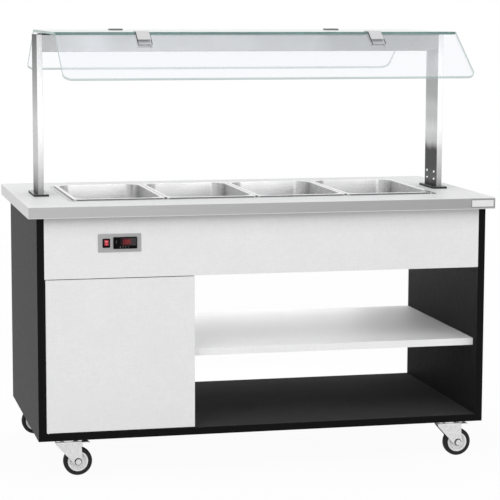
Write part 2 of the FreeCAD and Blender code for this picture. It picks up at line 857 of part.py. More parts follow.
# Ring or disc turned from a half section, given as radius and distance from the wheel's middle
def spun(points):
    section = outline([Vector(r, h, 0) for r, h in points])
    solid = section.revolve(Vector(0, 0, 0), Vector(0, 1, 0), 360)
    return moved(solid, castorTrail, 0, wheelRadius)


def hub():
    bore = axleDiameter / 2 + runningFit
    seat = tyreSeatDiameter / 2
    rim = seat - hubRimWall
    boss = hubBossDiameter / 2
    h = hubLength / 2
    w = hubWebThickness / 2
    t = tyreWidth / 2
    side = [(bore, h), (boss, h), (boss, w), (rim - 1.5, w), (rim, t - 1), (seat, t - 1)]
    return spun(side + [(r, -y) for r, y in reversed(side)])


def tyre():
    t = tyreWidth / 2
    seat = tyreSeatDiameter / 2
    k = tyreRound
    crown = wheelRadius
    arc = []
    for i in range(3):
        a = math.radians(45 * i)
        arc.append((crown - k + k * math.sin(a), t - k * 0.6 + k * 0.6 * math.cos(a)))
    upper = [(seat, t - 1)] + arc
    return spun(upper + [(r, -y) for r, y in reversed(upper)])


# Pedal plate on a cross pin over the wheel, with a shoe that presses on the tread
def brakePedal():
    z = crownTop - pedalPivotDrop
    half = forkInner - swivelGap
    x0 = pedalPivotX - pedalPinDiameter
    x1 = pedalPivotX + pedalReach
    top = z + pedalPinDiameter / 2 + pedalThickness
    low = top - pedalThickness
    sideways = [(x0, top), (x1 - pedalLip, top), (x1, top - pedalLip / 2), (x1, low - pedalLip / 2),
                (x1 - pedalLip, low), (x0, low)]
    plate = outline([Vector(px, -half, pz) for px, pz in sideways]).extrude(Vector(0, 2 * half, 0))
    lug = block(x0, pedalPivotX + pedalPinDiameter, -half, half, z - pedalPinDiameter * 0.8,
                top - pedalThickness / 2)
    pin = rod(pedalPinDiameter, 2 * forkOuter, Vector(pedalPivotX, -forkOuter, z), Vector(0, 1, 0))
    return plate.multiFuse([lug, pin, brakeShoe(top - pedalThickness / 2)])


def brakeShoe(top):
    arm = pedalPivotX + pedalPinDiameter + shoeThickness
    dx = arm - castorTrail
    pivotZ = crownTop - pedalPivotDrop
    reach = arm + shoeThickness - pedalPivotX
    treadZ = wheelRadius + math.sqrt(wheelRadius ** 2 - (dx - shoeThickness) ** 2)
    low = treadZ + reach * math.sin(math.radians(brakeAngle)) + 2 * seatGap
    w = tyreWidth / 2 - tyreRound
    return block(arm - shoeThickness, arm + shoeThickness, -w, w, min(low, pivotZ), top)


def castorPlaces():
    x = bodyWidth / 2 - castorInsetX
    front = frontY + castorInsetY
    back = backY - castorInsetY
    return ((-x, front, 0), (x, front, 0), (-x, back, 180), (x, back, 180))


def placed(shape, place):
    x, y, angle = place
    return moved(turned(shape, Vector(0, 0, 1), angle), x, y)


def main():
    os.makedirs("parts", exist_ok=True)
    export(sidePanel(-1), "side_panel_left")
    export(sidePanel(1), "side_panel_right")
    export(bottomPanel(), "bottom_panel")
    export(fasciaFront(), "fascia_front")
    export(fasciaBack(), "fascia_back")
    export(ceilingBoard(), "ceiling_board")
    export(shelf(), "shelf")
    export(shelfPins(), "shelf_pins")
    export(divider(), "cupboard_divider")
    export(cupboardBack(), "cupboard_back")
    export(door(), "door_panel")
    export(doorPivots(), "door_pivots")
    export(doorBushes(), "door_bushes")
    export(worktop(), "worktop")
    export(well(), "well")
    export(panBars(), "pan_bars")
    export(heatingElement(), "heating_element")
    for i in range(panCount):
        export(pan(i), "pan_%d" % (i + 1))
    export(controlPlate(), "control_plate")
    export(switchBezel(), "switch_bezel")
    export(rocker(), "switch_rocker")
    export(thermostatCase(), "thermostat_case")
    export(displayBlock(), "display_window")
    for i, x in enumerate(keyPlaces()):
        export(thermostatKey(x), "thermostat_key_%d" % (i + 1))
    export(post(-1), "post_left")
    export(post(1), "post_right")
    export(postPlates(), "post_plates")
    export(postBolts(), "post_bolts")
    export(beam(), "beam")
    export(glassPads(), "glass_pads")
    export(glassPane(), "glass_top")
    wing = frontWing()
    export(wing, "glass_wing_front")
    export(mirroredY(wing), "glass_wing_back")
    clips = frontClips()
    export(Part.makeCompound(clips + [mirroredY(c) for c in clips]), "glass_clips")
    plates = []
    for name, place in zip(castorNames, castorPlaces()):
        braked = name.startswith("front")
        plates += [placed(solid, place) for solid in [castorPlate()] + castorBoltHeads()]
        export(placed(fork(braked), place), "castor_fork_" + name)
        export(placed(axle(), place), "castor_axle_" + name)
        export(placed(hub(), place), "castor_hub_" + name)
        export(placed(tyre(), place), "castor_tyre_" + name)
        if braked:
            export(placed(brakePedal(), place), "brake_pedal_" + name)
    export(Part.makeCompound(plates), "castor_plates")


main()
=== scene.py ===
import math
import bmesh
import bpy
import numpy as np
from mathutils import Matrix, Vector


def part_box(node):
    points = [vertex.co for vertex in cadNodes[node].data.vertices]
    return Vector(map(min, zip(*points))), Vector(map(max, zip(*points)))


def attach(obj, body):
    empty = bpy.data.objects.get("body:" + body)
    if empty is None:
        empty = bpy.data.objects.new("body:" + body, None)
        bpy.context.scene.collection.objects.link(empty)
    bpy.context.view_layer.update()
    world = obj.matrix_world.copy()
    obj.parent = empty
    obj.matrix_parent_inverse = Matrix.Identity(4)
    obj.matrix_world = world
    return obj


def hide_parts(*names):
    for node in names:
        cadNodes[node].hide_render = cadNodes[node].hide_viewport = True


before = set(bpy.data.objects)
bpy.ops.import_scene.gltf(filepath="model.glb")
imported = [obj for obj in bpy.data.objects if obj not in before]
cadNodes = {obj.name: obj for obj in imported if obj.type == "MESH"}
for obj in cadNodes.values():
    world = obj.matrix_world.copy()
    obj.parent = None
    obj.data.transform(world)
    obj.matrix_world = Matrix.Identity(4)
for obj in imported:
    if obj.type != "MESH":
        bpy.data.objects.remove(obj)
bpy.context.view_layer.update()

scene = bpy.context.scene
mm = 0.001
print("stage: frame loaded,", len(cadNodes), "nodes")


# shader maths: a wire is one socket, and + - * / < > on wires or numbers add Math nodes
class Wire:
    def __init__(self, finish, socket):
        self.finish = finish
        self.socket = socket

    def __add__(self, other):
        return self.finish.maths("ADD", self, other)

    def __sub__(self, other):
        return self.finish.maths("SUBTRACT", self, other)

    def __rsub__(self, other):
        return self.finish.maths("SUBTRACT", other, self)

    def __mul__(self, other):
        return self.finish.maths("MULTIPLY", self, other)

    def __truediv__(self, other):
        return self.finish.maths("DIVIDE", self, other)

    def __lt__(self, other):
        return self.finish.maths("LESS_THAN", self, other)

    def __gt__(self, other):
        return self.finish.maths("GREATER_THAN", self, other)

    def __abs__(self):
        return self.finish.maths("ABSOLUTE", self)

    __radd__ = __add__
    __rmul__ = __mul__


def grey(level, tint=(1, 1, 1)):
    return tuple(level * t for t in tint)


# the nodes of a new material, or of the world, and the ways to add to them
class Finish:
    def __init__(self, name, holder=None):
        self.holder = holder or bpy.data.materials.new(name)
        self.holder.use_nodes = True
        self.tree = self.holder.node_tree
        self.tree.nodes.clear()

    # any node: its type, its settings (set first; "stops" fills a ramp), its sockets, the output wanted
    def node(self, kind, settings=None, sockets=None, output=0):
        made = self.tree.nodes.new("ShaderNode" + kind)
        for key, value in (settings or {}).items():
            if key == "stops":
                while len(made.color_ramp.elements) < len(value):
                    made.color_ramp.elements.new(0.5)
                for element, (place, tone) in zip(made.color_ramp.elements, value):
                    element.position = place
                    element.color = (*tone, 1)
            else:
                setattr(made, key, value)
        for key, value in (sockets or {}).items():
            socket = made.inputs[key]
            if isinstance(value, Wire):
                self.tree.links.new(value.socket, socket)
            else:
                socket.default_value = (*value, 1) if socket.type == "RGBA" else value
        return Wire(self, made.outputs[output])

    def maths(self, operation, *values):
        return self.node("Math", {"operation": operation}, dict(enumerate(values)))

    def place(self):
        return self.node("TexCoord", output="Object")

    def axes(self, vector):
        split = self.node("SeparateXYZ", None, {0: vector}).socket.node
        return [Wire(self, socket) for socket in split.outputs]

    def product(self, first, second):
        return self.node("VectorMath", {"operation": "MULTIPLY"}, {0: first, 1: second})

    def dot(self, vector, direction):
        return self.node("VectorMath", {"operation": "DOT_PRODUCT"}, {0: vector, 1: direction}, "Value")

    def noise(self, vector, scale, detail=2.0, rough=0.5):
        return self.node("TexNoise", None, {"Vector": vector, "Scale": scale, "Detail": detail,
                                            "Roughness": rough})

    # soft step from 0 to 1 between two values
    def ramp(self, value, low, high, first=0.0, last=1.0):
        return self.node("MapRange", {"interpolation_type": "SMOOTHSTEP"},
                         {0: value, 1: low, 2: high, 3: first, 4: last})

    # grey tones at given shares of a length
    def greys(self, share, stops):
        return self.node("ValToRGB", {"stops": [(at, grey(level)) for at, level in stops]}, {0: share})

    def blend(self, factor, first, second):
        return self.node("Mix", {"data_type": "RGBA"}, {0: factor, 6: first, 7: second}, 2)

    def bump(self, height, distance, strength=1.0):
        return self.node("Bump", None, {"Height": height, "Distance": distance, "Strength": strength})

    # one Principled shader with constants on its own sockets
    def skin(self, **sockets):
        names = {"color": "Base Color", "rough": "Roughness", "metal": "Metallic", "normal": "Normal",
                 "shine": "Specular IOR Level", "glow": "Emission Color", "glowPower": "Emission Strength",
                 "ior": "IOR"}
        return self.node("BsdfPrincipled", None, {names[key]: value for key, value in sockets.items()})

    def done(self, shader, target="OutputMaterial"):
        out = self.tree.nodes.new("ShaderNode" + target)
        self.tree.links.new(shader.socket, out.inputs["Surface"])
        return self.holder


# boards: satin laminate with a fine woven grain; black ones carry a plain band along the front edge, and the
# fascias get a painted shadow that darkens them softly towards the overhanging worktop
boardGrain = {"across": (260, 260, 42), "along": (42, 260, 300), "bandDepth": 1.0 * mm}
boardLooks = {
    "black": {"dark": grey(0.006), "pale": grey(0.010), "cloudTone": grey(0.011), "cloud": 0.35, "rough": 0.5,
              "bump": 0.03, "shine": 0.08, "band": grey(0.003)},
    # inner right panel and bottom panel: paler copies of the black laminate with painted light, the bottom
    # one matt and paler still; their front bands are painted lighter too
    "blackInnerPaintedLight": {"dark": grey(0.011), "pale": grey(0.016), "cloudTone": grey(0.017), "cloud": 0.35,
                   "rough": 0.55, "bump": 0.03, "shine": 0.015, "band": grey(0.009)},
    "blackFloorPaintedLight": {"dark": grey(0.050), "pale": grey(0.064), "cloudTone": grey(0.064), "cloud": 0.35,
                   "rough": 0.75, "bump": 0.03, "shine": 0.0, "band": grey(0.010)},
    "white": {"dark": grey(0.80), "pale": grey(0.845), "cloudTone": grey(0.785), "cloud": 0.4, "rough": 0.5,
              "bump": 0.02, "shine": 0.4},
}
# shelf: a paler copy of the white laminate, painted light for the light that falls in through the open back
boardLooks["shelf"] = {**boardLooks["white"], "dark": grey(0.88), "pale": grey(0.93), "cloudTone": grey(0.87)}
# fascia: painted shadow under the overhanging worktop; the stops darken the colour towards the fascia's top
boardLooks["fascia"] = {
    **boardLooks["white"], "fallTop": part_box("fascia_front")[1].z, "fallDepth": 80 * mm,
    "fall": [(0.0, 0.60), (0.12, 0.65), (0.3, 0.80), (0.5, 0.905), (0.72, 0.96), (1.0, 1.0)]}


def boardFinish(name, look):
    f = Finish(name)
    place = f.place()
    across = f.noise(f.product(place, boardGrain["across"]), 1.0, 3, 0.6)
    along = f.noise(f.product(place, boardGrain["along"]), 1.0, 3, 0.6)
    weave = across + along
    cloud = f.noise(place, 7, 3, 0.55)
    shade = f.blend(f.ramp(weave, 0.75, 1.25), look["dark"], look["pale"])
    shade = f.blend(f.ramp(cloud, 0.35, 0.7, 0, look["cloud"]), shade, look["cloudTone"])
    rough = f.ramp(weave, 0.7, 1.3, look["rough"] + 0.06, look["rough"] - 0.04)
    if "band" in look:
        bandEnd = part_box("side_panel_left")[0].y + boardGrain["bandDepth"]
        shade = f.blend(f.axes(place)[1] < bandEnd, shade, look["band"])
    # painted shadow: darker towards the top edge, under the overhanging worktop
    if "fall" in look:
        below = look["fallTop"] - f.axes(place)[2]
        shade = f.product(shade, f.greys(below / look["fallDepth"], look["fall"]))
    normal = f.bump(weave, look["bump"] * mm, 0.5)
    return f.done(f.skin(color=shade, rough=rough, normal=normal, shine=look["shine"]))


# worktop: white top skin, satin grey edge band with a pale line along both arrises; the band gets painted
# shade that darkens it towards its right end, and painted light that makes both end faces paler
def worktopFinish():
    look = {"top": grey(0.845), "topSpeck": grey(0.81), "band": grey(0.50), "bandDark": grey(0.46),
            "bandShadeRight": 0.76, "end": grey(0.69), "endDepth": 1.5 * mm, "line": grey(0.72),
            "lineTop": 2.4 * mm, "lineBottom": 1.92 * mm, "bevel": 1.2 * mm}
    low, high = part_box("worktop")
    f = Finish("worktopLaminate")
    place = f.place()
    x, y, z = f.axes(place)
    speck = f.noise(place, 900, 2, 0.7)
    cloud = f.noise(place, 5, 3, 0.5)
    top = f.blend(f.ramp(speck, 0.45, 0.62), look["top"], look["topSpeck"])
    top = f.blend(f.ramp(cloud, 0.4, 0.7, 0, 0.3), top, look["topSpeck"])
    drawn = f.noise(f.product(place, (3, 3, 420)), 1.5, 3, 0.6)
    band = f.blend(f.ramp(drawn, 0.3, 0.7), look["band"], look["bandDark"])
    # painted shade: the front band darkens towards the right end
    rightShade = f.ramp(x, low.x, high.x, 1.0, look["bandShadeRight"])
    band = f.node("VectorMath", {"operation": "SCALE"}, {0: band, "Scale": rightShade})
    # painted light: both end faces paler than the front band
    band = f.blend(abs(x) > (high.x - look["endDepth"]), band, look["end"])
    arris = f.maths("MAXIMUM", z > (high.z - look["lineTop"]), z < (low.z + look["lineBottom"]))
    band = f.blend(arris, band, look["line"])
    shade = f.blend(z > (high.z - look["bevel"]), band, top)
    rough = f.ramp(speck, 0.4, 0.65, 0.42, 0.5)
    return f.done(f.skin(color=shade, rough=rough, normal=f.bump(speck, 0.01 * mm, 0.4), shine=0.45))


# steel: streaks along one axis, soft clouds, fine scratches in the bump
class SteelFinish(Finish):
    def __init__(self, name, look):
        super().__init__(name)
        self.look = look
        place = self.place()
        streaked = self.product(place, look["streak"])
        self.fine = self.noise(streaked, 1.0, 4, 0.65)
        self.broad = self.noise(streaked, 0.16, 2, 0.5)
        self.cloud = self.noise(place, 6, 2, 0.5)
        self.x, self.y, self.z = self.axes(place)
        self.shade = self.blend(self.ramp(self.fine, 0.3, 0.7), look["dark"], look["pale"])
        self.paint(self.ramp(self.broad, 0.35, 0.65, 0, 0.5), look["mid"])

    # a tone laid over the steel where the mask is 1
    def paint(self, mask, tone):
        self.shade = self.blend(mask, self.shade, tone)

    # painted reflection: grey tones along an axis from start to end, wavering a little with the streaks
    def mirror(self, axis, span, tones, share):
        start, end = span
        level = (axis + (self.broad - 0.5) * 0.04 - start) / (end - start)
        self.paint(share, self.greys(level, tones))

    def finished(self, metal=1.0):
        look = self.look
        rough = self.ramp(self.cloud + self.fine, 0.7, 1.3, look["rough"] - 0.05, look["rough"] + 0.07)
        normal = self.bump(self.fine, look["bump"] * mm, look["scratch"])
        return self.done(self.skin(color=self.shade, rough=rough, metal=metal, shine=look.get("shine", 0.5),
                                   normal=normal))


brushed = {"up": (700, 700, 14), "along": (9, 600, 900), "round": (160, 160, 160)}


def steelLook(level, direction, rough, bump=0.02, scratch=0.35):
    return {"dark": grey(level * 0.84), "pale": grey(level * 1.08), "mid": grey(level),
            "streak": brushed[direction], "rough": rough, "bump": bump, "scratch": scratch}


plainSteels = {
    "well": steelLook(0.62, "along", 0.3),
    # foot plates: a dark tone that paints the dark reflection in their steel
    "plate": steelLook(0.15, "along", 0.22),
    # screw sockets: a dark tone that paints the shade inside them
    "socket": steelLook(0.22, "round", 0.4, 0.01, 0.2),
    "bolt": steelLook(0.86, "round", 0.2, 0.01, 0.2),
    "element": steelLook(0.30, "round", 0.38),
    "zinc": steelLook(0.70, "round", 0.3, 0.02, 0.3),
    "axle": steelLook(0.66, "round", 0.4, 0.02, 0.3),
}


def steelFinish(key):
    return SteelFinish("steel" + key.capitalize(), plainSteels[key]).finished()


# beam: painted reflection, its tones mirror less and less of the pale room towards its right end
def beamFinish():
    look = {**steelLook(0.40, "along", 0.34), "span": (-0.73, 0.73), "share": 0.75,
            "tones": [(0.0, 0.46), (0.08, 0.57), (0.28, 0.48), (0.5, 0.42), (0.7, 0.34), (0.86, 0.24),
                      (1.0, 0.23)]}
    f = SteelFinish("steelBeam", look)
    f.mirror(f.x, look["span"], look["tones"], look["share"])
    return f.finished()


# posts: painted reflections: their polished sides carry painted tones of dark and pale parts of the room up
# the height, and the brushed front face gets painted light and shade, darker towards the bottom
postLow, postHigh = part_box("post_left")
postLook = {**steelLook(0.48, "up", 0.24), "span": (postLow.z, postHigh.z), "share": 0.93,
            "frontY": postLow.y + 0.8 * mm, "grain": 0.2, "sideMetal": 0.1, "shine": 0.0}
postPaintedTones = {
    "left": {"side": [(0.0, 0.08), (0.08, 0.40), (0.2, 0.66), (0.45, 0.72), (0.65, 0.50), (0.85, 0.29),
                      (1.0, 0.15)],
             "front": [(0.0, 0.27), (0.08, 0.33), (0.2, 0.42), (0.35, 0.53), (0.5, 0.65), (0.85, 0.65),
                       (1.0, 0.56)]},
    "right": {"side": [(0.0, 0.03), (0.05, 0.19), (0.12, 0.095), (0.24, 0.09), (0.29, 0.76), (0.37, 0.96),
                       (0.46, 0.74), (0.53, 0.78), (0.6, 0.60), (0.7, 0.60), (0.8, 0.74), (1.0, 0.66)],
              "front": [(0.0, 0.30), (0.08, 0.42), (0.2, 0.52), (0.35, 0.56), (0.5, 0.65), (0.85, 0.65),
                        (1.0, 0.5)]},
}


def postFinish(side):
    look = postLook
    start, end = look["span"]
    f = SteelFinish("steelPost" + side.capitalize(), look)
    f.mirror(f.z, look["span"], postPaintedTones[side]["side"], look["share"])
    # painted light and shade on the front face, darker towards the bottom
    front = f.greys((f.z - start) / (end - start), postPaintedTones[side]["front"])
    f.paint(f.y < look["frontY"], f.blend(look["grain"], front, f.shade))
    return f.finished(f.ramp(f.y, look["frontY"] - 0.1 * mm, look["frontY"], 1.0, look["sideMetal"]))


# pans: a painted highlight makes the rim tops pale, and a painted shadow makes a dark line where each rim
# turns down; the mask repeats along X with the pans
def panFinish():
    look = {**steelLook(0.66, "along", 0.27), "rim": grey(0.86), "lipPaintedShadow": grey(0.16), "lipDepth": 0.7 * mm}
    low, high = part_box("pan_1")
    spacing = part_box("pan_2")[0].x - low.x
    lipX = (high.x - low.x) / 2 - look["lipDepth"]
    lipY = high.y - look["lipDepth"]
    lipTop = high.z - look["lipDepth"]
    f = SteelFinish("steelPan", look)
    sideways = abs(f.maths("FRACT", f.x / spacing) - 0.5) > (lipX / spacing)
    # painted shadow on the turned-down lips
    f.paint(f.maths("MAXIMUM", sideways, abs(f.y) > lipY) * (f.z < lipTop), look["lipPaintedShadow"])
    # painted highlight on the rim tops
    f.paint(f.z > lipTop, look["rim"])
    return f.finished()


# the flat pane and the sloping wings: both wings fall by the same angle, with a small gap at the fold
paneLow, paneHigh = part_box("glass_top")
wing = {"thickness": 8 * mm, "gap": 3 * mm, "run": 220 * mm, "drop": 150 * mm, "corner": 32 * mm}
slope = math.atan2(wing["drop"], wing["run"])
slopeCos = math.cos(slope)
slopeSin = math.sin(slope)
wingLength = math.hypot(wing["run"], wing["drop"])
foldY = wing["gap"] + wing["thickness"] * slopeSin - paneLow.y


# clips: one steel with painted light and shade: a painted pale jaw on the wing, a painted darker tip, a
# painted dark line along the crease between them, and painted shade on the back ones, which turn away from
# the light
def clipFinish():
    look = {**steelLook(0.64, "along", 0.36, 0.01, 0.2), "metal": 0.35, "back": grey(0.2),
            "jawFrom": 47 * mm, "jawPaintedLight": grey(0.9), "tipPaintedShade": grey(0.36),
            "seamAt": 64.5 * mm, "seamHalf": 4.0 * mm, "creasePaintedShadow": grey(0.03)}
    f = SteelFinish("steelClip", look)
    down = (abs(f.y) - foldY) * slopeCos + (paneHigh.z - f.z) * slopeSin
    # painted shade on the back clips
    f.paint(f.y > 0, look["back"])
    f.paint(down > look["jawFrom"], look["jawPaintedLight"])
    f.paint(down > (look["seamAt"] + look["seamHalf"]), look["tipPaintedShade"])
    f.paint(abs(down - look["seamAt"]) < look["seamHalf"], look["creasePaintedShadow"])
    return f.finished(look["metal"])


# forks: pressed zinc-plated sheet, with painted shade on the edges that face left
def forkFinish():
    look = {**steelLook(0.70, "round", 0.3, 0.02, 0.3), "edge": grey(0.03), "shadedFacing": -0.5}
    f = SteelFinish("steelFork", look)
    facing = f.axes(f.node("TexCoord", output="Normal"))[0]
    f.paint(facing < look["shadedFacing"], look["edge"])
    return f.finished()


# moulded plastic, rubber and print: plain tone with a fine spark texture
mouldedLooks = {
    "hubNylon": {"tone": grey(0.84), "tone2": grey(0.88), "rough": 0.4},
    "tyreRubber": {"tone": grey(0.006), "tone2": grey(0.011), "rough": 0.62, "bump": 0.05, "grain": 900,
                   "shine": 0.3},
    "blackPlastic": {"tone": grey(0.002), "tone2": grey(0.004), "rough": 0.34, "shine": 0.03},
    "keyPlastic": {"tone": grey(0.005), "tone2": grey(0.009), "rough": 0.45, "shine": 0.1},
    "litFigures": {"tone": (0.15, 0.008, 0.01), "tone2": (0.18, 0.01, 0.012), "rough": 0.4,
                   "glow": (1.0, 0.05, 0.055), "glowPower": 0.21, "bump": 0.002, "shine": 0.2},
    "printInk": {"tone": grey(0.55), "tone2": grey(0.6), "rough": 0.6, "bump": 0.002},
    "guidePlastic": {"tone": grey(0.07), "tone2": grey(0.09), "rough": 0.5, "bump": 0.002},
    "softRubber": {"tone": grey(0.008), "tone2": grey(0.014), "rough": 0.7, "bump": 0.04},
    "plateFace": {"tone": grey(0.78), "tone2": grey(0.82), "rough": 0.35, "bump": 0.004},
    "plateFrame": {"tone": grey(0.13), "tone2": grey(0.16), "rough": 0.4, "bump": 0.004},
}


def mouldedFinish(name):
    look = mouldedLooks[name]
    f = Finish(name)
    place = f.place()
    spark = f.noise(place, look.get("grain", 1400), 2, 0.6)
    cloud = f.noise(place, 30, 2, 0.5)
    shade = f.blend(f.ramp(cloud + spark, 0.8, 1.25), look["tone"], look["tone2"])
    rough = f.ramp(spark, 0.3, 0.7, look["rough"] - 0.05, look["rough"] + 0.06)
    parts = {"color": shade, "rough": rough, "normal": f.bump(spark, look.get("bump", 0.02) * mm, 0.5),
             "shine": look.get("shine", 0.5)}
    if "glow" in look:
        parts.update(glow=look["glow"], glowPower=look["glowPower"])
    return f.done(f.skin(**parts))


# lit switch: clear red, paler over the lamp behind each half, the upper half paler still with a painted
# highlight, deep red along the fold, dark at its sides
def rockerFinish():
    look = {"red": (0.42, 0.006, 0.02), "upper": (0.85, 0.17, 0.21), "lower": (0.60, 0.028, 0.062),
            "rim": (0.09, 0.008, 0.01), "fold": (0.38, 0.004, 0.02), "foldHalf": 2.4 * mm,
            "halfHeight": 7.5 * mm, "halfWidth": 6.5 * mm, "lampSide": (0.2, 0.9), "rimSide": (0.68, 0.98),
            "glow": 0.24}
    low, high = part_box("switch_rocker")
    middle = (low + high) / 2
    f = Finish("redRocker")
    place = f.place()
    x, y, z = f.axes(place)
    up = abs(z - middle.z)
    side = abs(x - middle.x) / look["halfWidth"]
    lamp = f.ramp(abs(up - look["halfHeight"] / 2), 0, look["halfHeight"] / 2, 1, 0)
    lamp = lamp * f.ramp(side, *look["lampSide"], 1, 0)
    spark = f.noise(place, 900, 2, 0.5)
    shade = f.blend(lamp, look["red"], f.blend(z > middle.z, look["lower"], look["upper"]))
    shade = f.blend(f.ramp(up, look["foldHalf"] * 0.3, look["foldHalf"], 1, 0), shade, look["fold"])
    shade = f.blend(f.ramp(side, *look["rimSide"]), shade, look["rim"])
    rough = f.ramp(spark, 0.3, 0.7, 0.16, 0.24)
    return f.done(f.skin(color=shade, rough=rough, glow=shade, glowPower=look["glow"]))


# smoky display window: dark along its left side, with a painted red glow of the lit figures near them, greyer
# towards its right end
def windowFinish():
    look = {"side": (0.012, 0.003, 0.004), "near": (0.060, 0.010, 0.015), "far": (0.038, 0.036, 0.037),
            "sideFrom": 2 * mm, "sideTo": 14 * mm, "farFrom": 22 * mm, "farTo": 51 * mm, "shine": 0.15}
    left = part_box("display_window")[0].x
    f = Finish("displayWindow")
    place = f.place()
    x = f.axes(place)[0] - left
    cloud = f.noise(place, 60, 2, 0.5)
    shade = f.blend(f.ramp(x, look["sideFrom"], look["sideTo"]), look["side"], look["near"])
    shade = f.blend(f.ramp(x + cloud * 0.01, look["farFrom"], look["farTo"]), shade, look["far"])
    return f.done(f.skin(color=shade, rough=f.ramp(cloud, 0.3, 0.7, 0.08, 0.14), shine=look["shine"]))


# anodised sheet of the controls: fine grain and a paler rolled rim
def sheetFinish():
    look = {"dark": grey(0.33, (1, 0.99, 1)), "pale": grey(0.39, (1, 0.99, 1)), "rim": grey(0.5),
            "rimWidth": 1.0 * mm, "metal": 0.35}
    low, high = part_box("control_plate")
    middle = (low + high) / 2
    half = (high - low) / 2
    f = Finish("controlSheet")
    place = f.place()
    x, y, z = f.axes(place)
    grain = f.noise(f.product(place, (60, 900, 1500)), 1.0, 3, 0.6)
    shade = f.blend(f.ramp(grain, 0.3, 0.7), look["dark"], look["pale"])
    nearEdge = f.maths("MAXIMUM", abs(x - middle.x) > (half.x - look["rimWidth"]),
                       abs(z - middle.z) > (half.z - look["rimWidth"]))
    shade = f.blend(nearEdge, shade, look["rim"])
    rough = f.ramp(grain, 0.3, 0.7, 0.34, 0.46)
    return f.done(f.skin(color=shade, rough=rough, metal=look["metal"], normal=f.bump(grain, 0.01 * mm, 0.4)))


glassLooks = {
    "pane": {"face": (0.86, 0.93, 0.96), "edge": (0.008, 0.155, 0.115), "edgePale": (0.035, 0.26, 0.205),
             "edgeCover": 0.95, "clear": (0.97, 0.985, 0.985), "film": 0.05},
    "wing": {"face": (0.91, 0.94, 0.97), "edge": (0.27, 0.39, 0.37), "edgePale": (0.41, 0.53, 0.51),
             "edgeCover": 0.58, "clear": (0.990, 0.991, 0.999), "filmFrom": 6 * mm, "filmTo": 20 * mm,
             "rim": 1.9 * mm},
}
wingFilms = {"front": 0.19, "back": 0.02}
glassGloss = {"power": 5.0, "most": 0.9, "margin": 0.25 * mm}


# glass: nearly clear broad faces with a faint film of sky that grows at a flat angle, green polished edges.
# The edge mask is the distance from the pane's middle plane: half the thickness on the faces, less on the
# edges. On a wing, the rim mask is the distance from the centre of a rounded corner, with v measured down the
# slope from the fold
def glassFinish(name, look, normal, middle, half, film, slopeLine=None):
    f = Finish(name)
    place = f.place()
    edge = abs(f.dot(place, normal) - middle) < (half - glassGloss["margin"])
    streak = f.noise(f.product(place, (4, 90, 90)), 1.0, 2, 0.5)
    green = f.blend(f.ramp(streak, 0.3, 0.7), look["edge"], look["edgePale"])
    if slopeLine:
        start, down = slopeLine
        v = f.dot(place, down) - start
        overX = f.maths("MAXIMUM", abs(f.axes(place)[0]) - (paneHigh.x - wing["corner"]), 0.0)
        overV = f.maths("MAXIMUM", v - (wingLength - wing["corner"]), 0.0)
        reach = f.maths("SQRT", overX * overX + overV * overV)
        edge = f.maths("MAXIMUM", edge, reach > (wing["corner"] - look["rim"]))
        film = f.ramp(v, look["filmFrom"], look["filmTo"], 0.0, film)
    shade = f.blend(edge, look["face"], green)
    facing = f.node("LayerWeight", None, {"Blend": 0.5}, "Facing")
    gloss = f.maths("POWER", facing, glassGloss["power"]) * glassGloss["most"] + film
    cover = f.maths("MAXIMUM", edge * look["edgeCover"], gloss)
    rough = f.ramp(streak, 0.3, 0.7, 0.02, 0.05)
    clear = f.node("BsdfTransparent", None, {"Color": look["clear"]})
    solid = f.skin(color=shade, rough=rough, ior=1.5, metal=1 - edge)
    return f.done(f.node("MixShader", None, {0: cover, 1: clear, 2: solid}))


def paneFinish():
    look = glassLooks["pane"]
    middle = (paneLow.z + paneHigh.z) / 2
    half = (paneHigh.z - paneLow.z) / 2
    return glassFinish("glassTop", look, (0, 0, 1), middle, half, look["film"])


# a wing's normal leans to the front or back (side -1 or 1), and v runs down the slope from the fold
def wingFinish(key, side):
    normal = (0, side * slopeSin, slopeCos)
    down = (0, side * slopeCos, -slopeSin)
    half = wing["thickness"] / 2
    middle = foldY * slopeSin + paneHigh.z * slopeCos - half
    start = foldY * slopeCos - paneHigh.z * slopeSin
    return glassFinish("glassWing" + key.capitalize(), glassLooks["wing"], normal, middle, half,
                       wingFilms[key], (start, down))


print("stage: finishes described")


# one mesh from points and faces; closed meshes get outward normals
def meshPiece(name, points, faces, finish, body, smooth=True):
    mesh = bpy.data.meshes.new(name)
    mesh.from_pydata(np.asarray(points, float).reshape(-1, 3).tolist(), [],
                     [list(map(int, face)) for face in faces])
    work = bmesh.new()
    work.from_mesh(mesh)
    bmesh.ops.remove_doubles(work, verts=work.verts, dist=1e-7)
    bmesh.ops.recalc_face_normals(work, faces=work.faces)
    work.to_mesh(mesh)
    work.free()
    mesh.polygons.foreach_set("use_smooth", np.full(len(mesh.polygons), smooth))
    mesh.materials.append(finish)
    piece = bpy.data.objects.new(name, mesh)
    scene.collection.objects.link(piece)
    if smooth:
        sharp = piece.modifiers.new("sharpEdges", "EDGE_SPLIT")
        sharp.split_angle = math.radians(40)
    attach(piece, body)
    return piece


# quads of a grid with rows and columns: the columns close on themselves, the rows where asked
def gridFaces(rows, columns, closeRows=False):
    i = np.arange(rows if closeRows else rows - 1)[:, None]
    j = np.arange(columns)[None, :]
    nextRow = (i + 1) % rows
    nextColumn = (j + 1) % columns
    quads = np.stack([i * columns + j, i * columns + nextColumn, nextRow * columns + nextColumn,
                      nextRow * columns + j], -1)
    return quads.reshape(-1, 4)


# count points on a unit circle: (cos a, sin a)
def circlePoints(count):
    a = np.linspace(0, 2 * math.pi, count, endpoint=False)
    return np.stack([np.cos(a), np.sin(a)], -1)


